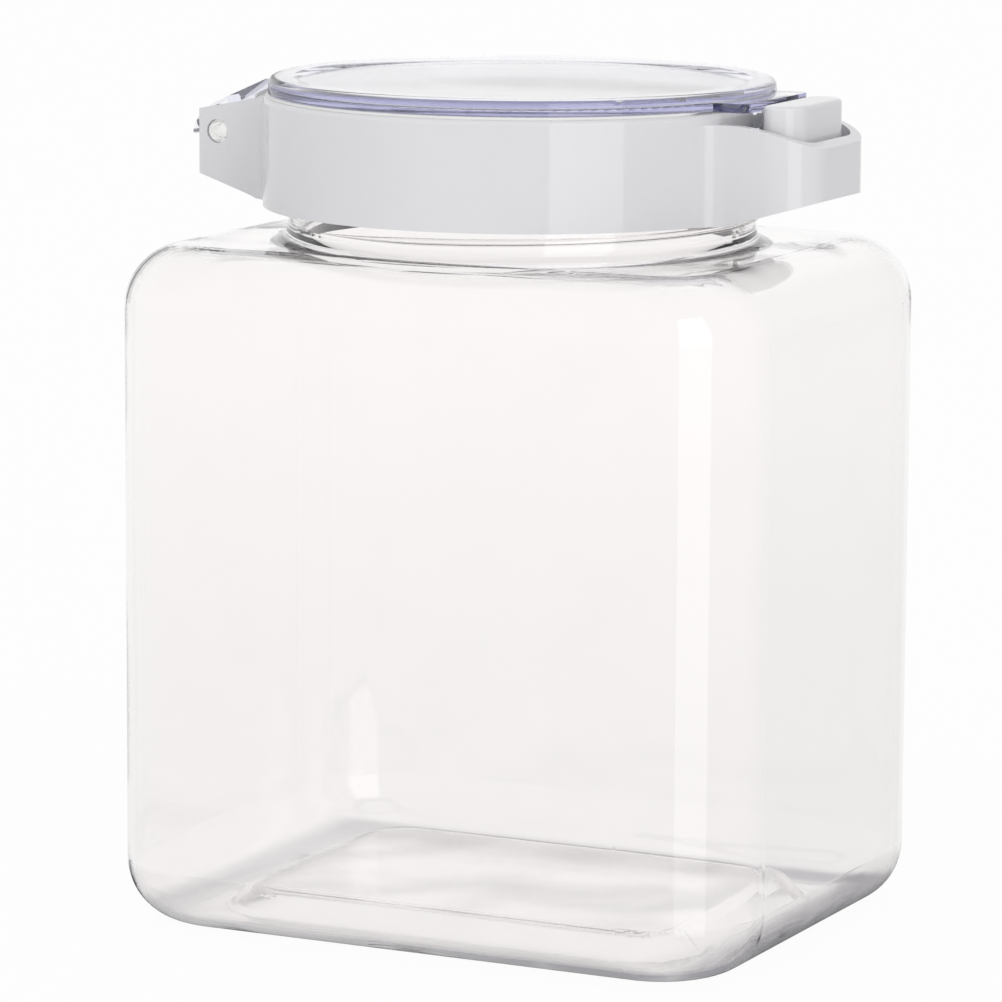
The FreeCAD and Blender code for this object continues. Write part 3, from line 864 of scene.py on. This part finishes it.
@dataclass
class Latch:
    """The thumb button, the pin that it rocks on and the spring under it."""

    shop: Workshop
    coil_radius: float = 0.0021
    wire: float = 0.00035
    turns: float = 7.0
    closed_turns: float = 1.0
    coil_steps: int = 36

    def spring(self) -> None:
        """Builds the compression spring with closed ends, from the beak's floor to the button."""
        low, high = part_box("latch_spring")
        centre = (low + high) / 2
        mesh = self.shop.realise("latch_spring_wire", spring_tree(), {
            "Radius": self.coil_radius, "Rise": high.z - low.z - 2 * self.wire, "Turns": self.turns,
            "Steps": self.coil_steps, "Place": (centre.x, centre.y, low.z + self.wire),
            "Material": self.shop.material(Finish.SPRING), "Wire": self.wire,
            "Closed": self.closed_turns / self.turns,
        })
        made = self.shop.piece("latch_spring_wire", mesh, "spring_steel")
        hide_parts("latch_spring")
        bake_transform(made)

    def build(self) -> None:
        """Dresses the button and its pin and adds the spring."""
        self.shop.dress("latch_button", Finish.WHITE)
        self.shop.dress("latch_pin", Finish.PIN)
        self.spring()


@dataclass
class Studio:
    """A white table under a white sky, with one tall soft light to the right of the camera."""

    # the sky as a light
    ambient: float = 0.74
    front_share: float = 0.2
    front_bearing: float = -5.0
    # the sky as polished plastic mirrors it: softer at the horizon and far right, dark near the table
    low_gloss: float = 0.92
    horizon: Band = (-0.04, 0.08)
    far_gloss_drop: float = 0.3
    far_across: Band = (0.3, 0.8)
    far_along: Band = (0.0, 0.3)
    under_gloss_drop: float = 0.9
    under: Band = (-0.2, -0.32)
    # the soft light's window in those mirrors
    window_gain: float = 1.4
    window_bearing: float = 54.3
    window_half_width: float = 0.306
    window_low: float = -0.37
    window_high: float = 0.7
    window_side_blur: float = 0.012
    window_end_blur: float = 0.02
    # the table, and the painted shade and painted shadows round and beside the jar's foot, seen only through
    # the plastic
    floor_size: float = 16.0
    floor_drop: float = 0.0002
    floor_colour: Colour = (0.9, 0.9, 0.9)
    floor_glow: float = 0.96
    # painted shade: seen through the plastic, the table is a little darker near the jar, white far off and
    # under the raised base
    painted_near_shade_tone: Colour = (0.93, 0.93, 0.93)
    near_reach: float = 0.08
    far_reach: float = 0.9
    # painted contact shadow: a dark ring on the table under the jar's foot, half as strong on the left, seen
    # only through the plastic
    painted_shadow_tone: Colour = (0.4, 0.4, 0.43)
    contact_left: float = 0.5
    contact_half_x: float = 0.07
    contact_half_y: float = 0.056
    contact_rise: Band = (0.7, 0.86)
    contact_fall: Band = (1.06, 0.92)
    contact_turn: Band = (-0.05, 0.05)
    below_fall: Band = (0.74, 0.6)
    # painted shadow: a dark strip on the table just beside the jar's right side, seen only through the
    # plastic
    beside_x: float = 0.068
    beside_half_x: float = 0.017
    beside_half_y: float = 0.06
    beside_core_x: float = 0.4
    beside_core_y: float = 0.75
    # the tall soft light itself
    key_bearing: float = 40.0
    key_distance: float = 0.9
    key_width: float = 0.52
    key_height: float = 1.3
    key_centre: float = 0.3
    key_watts: float = 2.2
    # how often light may pass or mirror in the clear walls
    light_bounces: int = 64
    mirror_bounces: int = 48

    @staticmethod
    def seen(book: NodeBook, *kinds: str) -> Field:
        """One where a ray is of one of the kinds.

        Args:
            book: the tree.
            kinds: outputs of the Light Path node.

        Returns:
            A value of 0 or 1.
        """
        path = book.node("ShaderNodeLightPath")
        total = Field(book, path.outputs[kinds[0]])
        for kind in kinds[1:]:
            total = book.math("MAXIMUM", total, Field(book, path.outputs[kind]))
        return total

    def window(self, book: NodeBook, along: Field, across: Field, up: Field) -> Field:
        """The soft light's upright window as polished plastic mirrors it.

        Args:
            book: the sky's tree.
            along: the direction's part along X.
            across: its part along Y.
            up: its part along Z.

        Returns:
            One inside the window and zero outside.
        """
        turn = math.radians(self.window_bearing)
        ahead = math.sin(turn) * along - math.cos(turn) * across
        aside = math.cos(turn) * along + math.sin(turn) * across
        inside = book.band(self.window_half_width * ahead - abs(aside), 0.0, self.window_side_blur)
        inside = inside * book.band(up, self.window_low - self.window_end_blur, self.window_low)
        return inside * book.band(up, self.window_high + self.window_end_blur, self.window_high)

    def sky(self) -> None:
        """White seen directly or through the plastic, softer as a light, dark below in mirrors."""
        world = bpy.data.worlds.new("studio_sky")
        world.use_nodes = True
        bpy.context.scene.world = world
        book = NodeBook(world.node_tree)
        axes = book.node("ShaderNodeSeparateXYZ", {}, {0: book.place(Coord.DIRECTION)})
        along, across, up = (Field(book, axes.outputs[axis]) for axis in "XYZ")
        gloss = self.low_gloss + (1.0 - self.low_gloss) * book.band(up, *self.horizon)
        far = book.band(across, *self.far_across) * book.band(along, *self.far_along)
        gloss = gloss * (1.0 - self.far_gloss_drop * far)
        gloss = gloss * (1.0 - self.under_gloss_drop * book.band(up, *self.under))
        gloss = gloss + self.window_gain * self.window(book, along, across, up)
        turn = math.radians(self.front_bearing)
        soft = self.ambient + self.front_share * (math.sin(turn) * along - math.cos(turn) * across)
        clear = self.seen(book, "Is Camera Ray", "Is Transmission Ray")
        mirror = self.seen(book, "Is Glossy Ray")
        direct = book.math("MAXIMUM", clear, mirror * gloss)
        strength = book.math("MAXIMUM", direct, soft * (1.0 - book.math("MAXIMUM", clear, mirror)))
        light = book.out("ShaderNodeBackground", {}, {"Color": (*PURE_WHITE, 1.0), "Strength": strength})
        book.node("ShaderNodeOutputWorld", {}, {"Surface": light})

    def floor_tone_with_painted_shade(self, book: NodeBook) -> Field:
        """The table's tone: white seen directly, with painted shade and painted shadows round and beside the
        jar's foot where plastic shows it.

        Args:
            book: the table's tree.

        Returns:
            The colour.
        """
        axes = book.node("ShaderNodeSeparateXYZ", {}, {0: book.place(Coord.OBJECT)})
        along, across = (Field(book, axes.outputs[axis]) for axis in "XY")
        away = book.math("POWER", along * along + across * across, 0.5)
        # painted contact shadow: a ring under the jar's foot, weaker on the left
        reach = book.math("MAXIMUM", abs(along) / self.contact_half_x, abs(across) / self.contact_half_y)
        painted_foot_shadow = book.band(reach, *self.contact_rise) * book.band(reach, *self.contact_fall)
        rightwards = book.band(along, *self.contact_turn)
        painted_foot_shadow = painted_foot_shadow * (self.contact_left + (1.0 - self.contact_left) * rightwards)
        # painted shadow strip beside the jar's right side
        core_x, core_y = self.beside_core_x * self.beside_half_x, self.beside_core_y * self.beside_half_y
        painted_side_shadow = book.band(abs(along - self.beside_x), self.beside_half_x, core_x)
        painted_side_shadow = painted_side_shadow * book.band(abs(across), self.beside_half_y, core_y)
        painted_foot_shadow = book.math("MAXIMUM", painted_foot_shadow, painted_side_shadow)
        # painted shade near the jar, white under the raised base and far off
        below = book.band(reach, *self.below_fall)
        bright = book.math("MAXIMUM", below, book.band(away, self.near_reach, self.far_reach))
        # the painted shade and shadows, shown only to rays through the plastic
        painted_shade_colour = book.mix(painted_foot_shadow, book.mix(bright, self.painted_near_shade_tone, PURE_WHITE), self.painted_shadow_tone)
        return book.mix(self.seen(book, "Is Transmission Ray"), PURE_WHITE, painted_shade_colour)

    def floor(self) -> None:
        """A white table that keeps the canister's soft shadow."""
        shape = bmesh.new()
        bmesh.ops.create_grid(shape, x_segments=1, y_segments=1, size=self.floor_size / 2)
        mesh = bpy.data.meshes.new("table")
        shape.to_mesh(mesh)
        shape.free()
        table = bpy.data.objects.new("table", mesh)
        bpy.context.scene.collection.objects.link(table)
        table.location.z = -self.floor_drop
        table.visible_glossy = False
        material, book = new_material("white_table")
        matt = book.out("ShaderNodeBsdfDiffuse", {}, {"Color": (*self.floor_colour, 1.0)})
        glow = book.out("ShaderNodeEmission", {}, {"Color": self.floor_tone_with_painted_shade(book), "Strength": 1.0})
        share = self.floor_glow * self.seen(book, "Is Camera Ray", "Is Transmission Ray")
        shown = book.out("ShaderNodeMixShader", {}, {0: share, 1: matt, 2: glow})
        book.node("ShaderNodeOutputMaterial", {}, {"Surface": shown})
        mesh.materials.append(material)

    def key(self) -> None:
        """The tall soft light."""
        lamp = bpy.data.lights.new("soft_light", "AREA")
        lamp.shape = "RECTANGLE"
        lamp.size = self.key_width
        lamp.size_y = self.key_height
        lamp.energy = self.key_watts
        bearing = math.radians(self.key_bearing)
        stand = bpy.data.objects.new("soft_light", lamp)
        stand.location = (math.sin(bearing) * self.key_distance, -math.cos(bearing) * self.key_distance,
                          self.key_centre)
        aim = Vector((0.0, 0.0, self.key_centre)) - stand.location
        stand.rotation_euler = aim.to_track_quat("-Z", "Y").to_euler()
        stand.visible_camera = False
        stand.visible_transmission = False
        stand.visible_glossy = False
        bpy.context.scene.collection.objects.link(stand)

    def build(self) -> None:
        """Builds the table, the sky and the light."""
        scene = bpy.context.scene
        scene.view_settings.view_transform = "Standard"
        scene.cycles.max_bounces = self.light_bounces
        scene.cycles.transmission_bounces = self.light_bounces
        scene.cycles.glossy_bounces = self.mirror_bounces
        self.sky()
        self.floor()
        self.key()


@dataclass
class PhotoCamera:
    """The camera of the photograph, fitted to the canister's outlines."""

    azimuth: float = 26.07
    elevation: float = 9.42
    roll: float = 0.32
    distance: float = 1.14142
    aim_right: float = -0.00388
    aim_height: float = 0.08502
    lens: float = 200.57
    sensor: float = 36.0
    far_clip: float = 20.0

    def build(self) -> None:
        """Places the camera."""
        turn, lift, lean = (math.radians(angle) for angle in (self.azimuth, self.elevation, self.roll))
        back = Vector((math.sin(turn) * math.cos(lift), -math.cos(turn) * math.cos(lift), math.sin(lift)))
        right = Vector((math.cos(turn), math.sin(turn), 0.0))
        up = back.cross(right)
        aim = right * self.aim_right + Vector((0.0, 0.0, self.aim_height))
        leaned_right = right * math.cos(lean) + up * math.sin(lean)
        leaned_up = up * math.cos(lean) - right * math.sin(lean)
        data = bpy.data.cameras.new("photo_camera")
        data.lens = self.lens
        data.sensor_width = self.sensor
        data.clip_end = self.far_clip
        camera = bpy.data.objects.new("photo_camera", data)
        camera.matrix_world = Matrix.Translation(aim + back * self.distance) @ Matrix(
            (leaned_right, leaned_up, back)).transposed().to_4x4()
        bpy.context.scene.collection.objects.link(camera)
        bpy.context.scene.camera = camera


def main() -> None:
    """Builds the camera and the studio, then the canister's pieces in order, and logs each piece."""
    logging.basicConfig(level=logging.INFO, format="%(name)s: %(message)s")
    PhotoCamera().build()
    Studio().build()
    shop = Workshop()
    for part in (Jar(shop), Collar(shop), Lid(shop), Latch(shop)):
        part.build()
        LOG.info("%s finished", type(part).__name__)


if __name__ == "__main__":
    main()
